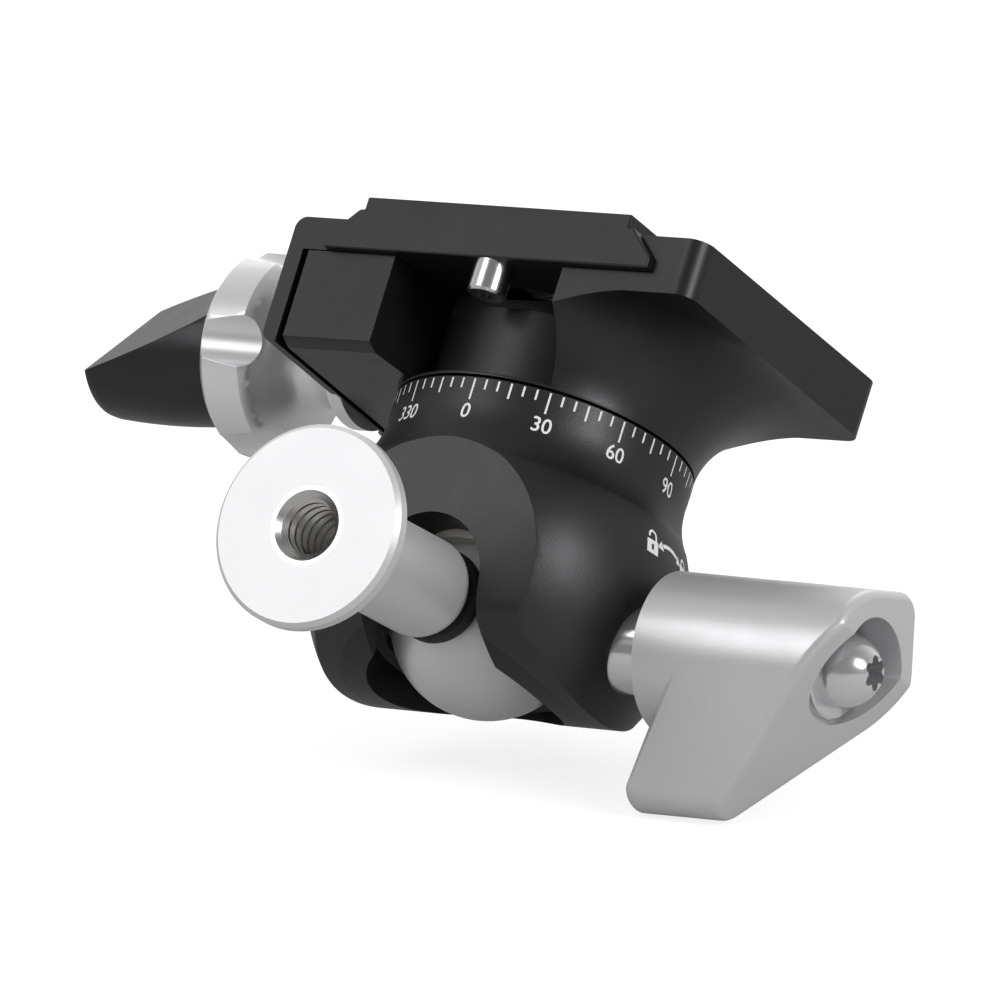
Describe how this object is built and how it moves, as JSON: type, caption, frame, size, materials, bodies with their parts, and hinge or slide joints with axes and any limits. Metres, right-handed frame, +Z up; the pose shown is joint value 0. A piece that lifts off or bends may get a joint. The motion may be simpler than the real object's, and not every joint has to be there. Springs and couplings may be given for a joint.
{
  "type": "inverted_ball_head_with_panning_dovetail_clamp",
  "caption": "Inverted tripod ball head with a lock lever, a degree dial, and a panning dovetail clamp with its quick-release camera plate",
  "frame": {"origin": "centre of the tripod disc's face, on the stem's axis", "axes": "+Z up along the pan axis towards the camera plate, +X along the lock lever's shaft, -Y towards the tripod disc"},
  "size_m": [0.0962, 0.0569, 0.0591],
  "materials": {
    "black_anodised": "satin",
    "clamp_black": "satin",
    "silver_anodised": "satin",
    "turned_aluminium": "brushed",
    "polished_steel": "polished",
    "plain_steel": "brushed",
    "spring_steel": "plain",
    "bearing_plastic": "matte",
    "brass": "turned",
    "rubber": "matte"
  },
  "bodies": {
    "stem": {"ball_stem": "silver_anodised", "thread_insert": "plain_steel"},
    "bumper": {"bumper_ring": "rubber"},
    "head": {"housing": "black_anodised", "retaining_ring": "black_anodised", "lower_race": "bearing_plastic", "pressure_cup": "bearing_plastic", "lock_bush": "polished_steel", "pan_washer": "bearing_plastic"},
    "brake": {"brake_pad": "brass"},
    "lever": {"lock_lever": "silver_anodised", "lever_washer": "plain_steel", "lever_screw": "polished_steel", "lock_shaft": "plain_steel"},
    "clamp": {"clamp_base": "clamp_black", "pan_axle": "plain_steel", "pan_spring": "spring_steel", "clamp_rod": "plain_steel"},
    "jaw": {"moving_jaw": "clamp_black", "guide_pins": "plain_steel", "jaw_springs": "spring_steel"},
    "knob": {"clamp_knob": "turned_aluminium", "knob_nut": "brass"},
    "wing": {"locking_wing": "black_anodised"},
    "plate": {"dovetail_plate": "clamp_black", "plate_pads": "rubber", "stop_screws": "polished_steel"},
    "screw": {"camera_screw": "plain_steel"}
  },
  "joints": [
    {"name": "spin", "type": "hinge", "parent": "stem", "child": "bumper", "pos_m": [0, 0.03599, 0.00609], "axis": [0, -0.986, -0.1668], "continuous": true},
    {"name": "tilt", "type": "hinge", "parent": "bumper", "child": "head", "pos_m": [0, 0.03599, 0.00609], "axis": [1, 0, 0], "range_deg": [-110, 8]},
    {"name": "pan", "type": "hinge", "parent": "head", "child": "clamp", "pos_m": [0, 0.03599, 0.02539], "axis": [0, 0, 1], "continuous": true},
    {"name": "lever_turn", "type": "hinge", "parent": "head", "child": "lever", "pos_m": [0.0214, 0.03599, 0.00479], "axis": [1, 0, 0], "range_deg": [0, 90]},
    {"name": "brake_slide", "type": "slide", "parent": "head", "child": "brake", "axis": [1, 0, 0], "range_m": [0, 0.0002]},
    {"name": "jaw_slide", "type": "slide", "parent": "clamp", "child": "jaw", "axis": [-0.9976, 0.0698, 0], "range_m": [0, 0.003], "deforming": ["jaw_springs"]},
    {"name": "knob_turn", "type": "hinge", "parent": "jaw", "child": "knob", "pos_m": [-0.0222, 0.03754, 0.03239], "axis": [-0.9976, 0.0698, 0], "range_deg": [0, 1350]},
    {"name": "wing_turn", "type": "hinge", "parent": "jaw", "child": "wing", "pos_m": [-0.03646, 0.03854, 0.03239], "axis": [-0.9976, 0.0698, 0], "range_deg": [-60, 60]},
    {"name": "plate_slide", "type": "slide", "parent": "clamp", "child": "plate", "axis": [0.0698, 0.9976, 0], "range_m": [-0.0015, 0.0015]},
    {"name": "screw_turn", "type": "hinge", "parent": "plate", "child": "screw", "pos_m": [0, 0.03599, 0.04219], "axis": [0, 0, 1], "continuous": true}
  ],
  "couplings": [
    {"joint": "lever_turn", "follows": "brake_slide", "rad_per_m": 7854},
    {"joint": "knob_turn", "follows": "jaw_slide", "rad_per_m": 7854}
  ]
}
